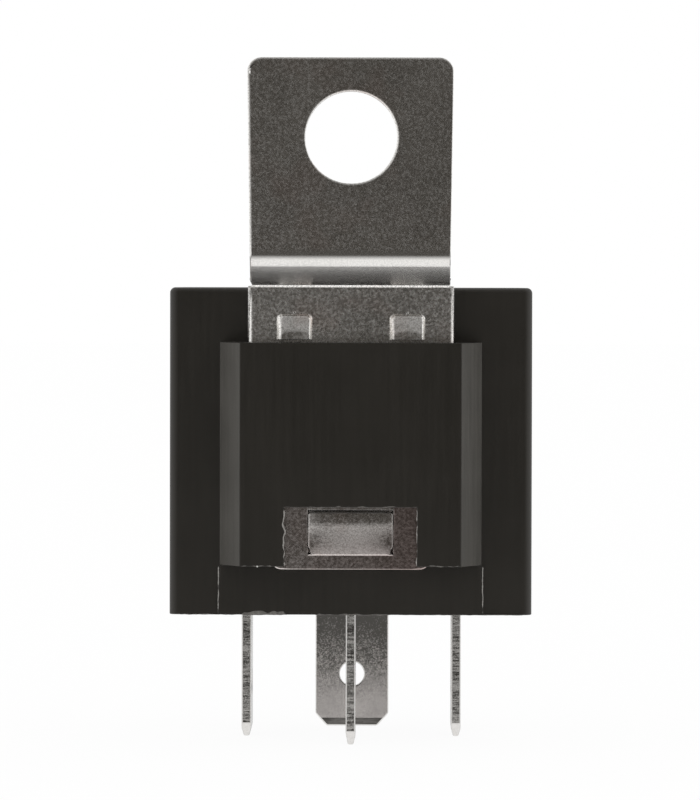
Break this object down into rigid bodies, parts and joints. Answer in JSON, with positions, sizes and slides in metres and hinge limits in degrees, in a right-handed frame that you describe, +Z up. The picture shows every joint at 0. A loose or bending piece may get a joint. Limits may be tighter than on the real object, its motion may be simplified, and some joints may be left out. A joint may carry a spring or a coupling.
{
  "type": "automotive relay",
  "caption": "Square black automotive relay with flat plug-in blades below and a stamped steel fixing bracket on one side.",
  "frame": {"origin": "middle of the blade pattern on the relay's underside, the plane that meets a socket", "axes": "+Z up, away from the blades; -Y towards the bracket side; +X to the right as seen from the bracket side"},
  "size_m": [0.0298, 0.0327, 0.0567],
  "materials": {
    "case_plastic": "fine satin moulding texture",
    "base_plastic": "fine satin moulding texture",
    "bobbin_plastic": "satin",
    "zinc_steel": "zinc plated, finely speckled",
    "blade_metal": "tin plated, finely speckled",
    "soft_iron": "zinc plated",
    "spring_copper": "rolled copper alloy",
    "contact_silver": "silver",
    "winding_copper": "enamelled copper wire",
    "wrap_tape": "polyester tape"
  },
  "bodies": {
    "housing": {"case": "case_plastic", "base_plate": "base_plastic", "mounting_bracket": "zinc_steel", "terminal_30": "blade_metal", "terminal_85": "blade_metal", "terminal_86": "blade_metal", "terminal_87": "blade_metal", "yoke": "soft_iron", "core": "soft_iron", "bobbin": "bobbin_plastic", "coil_winding": "winding_copper", "coil_wrap": "wrap_tape", "coil_lead_85": "winding_copper", "coil_lead_86": "winding_copper", "spring_rivet_left": "soft_iron", "spring_rivet_right": "soft_iron", "terminal_rivet": "soft_iron", "fixed_contact": "contact_silver", "armature_stop": "blade_metal"},
    "armature_group": {"armature": "soft_iron", "contact_spring": "spring_copper", "armature_rivet_left": "soft_iron", "armature_rivet_right": "soft_iron", "moving_contact": "contact_silver"}
  },
  "joints": [
    {"name": "armature_rock", "type": "hinge", "parent": "housing", "child": "armature_group", "pos_m": [0, -0.0098, 0.01862], "axis": [1, 0, 0], "range_deg": [-2.5, 0], "stiffness_Nm_per_rad": 0.02, "springref_deg": 8.59, "deforming": ["contact_spring"]}
  ]
}
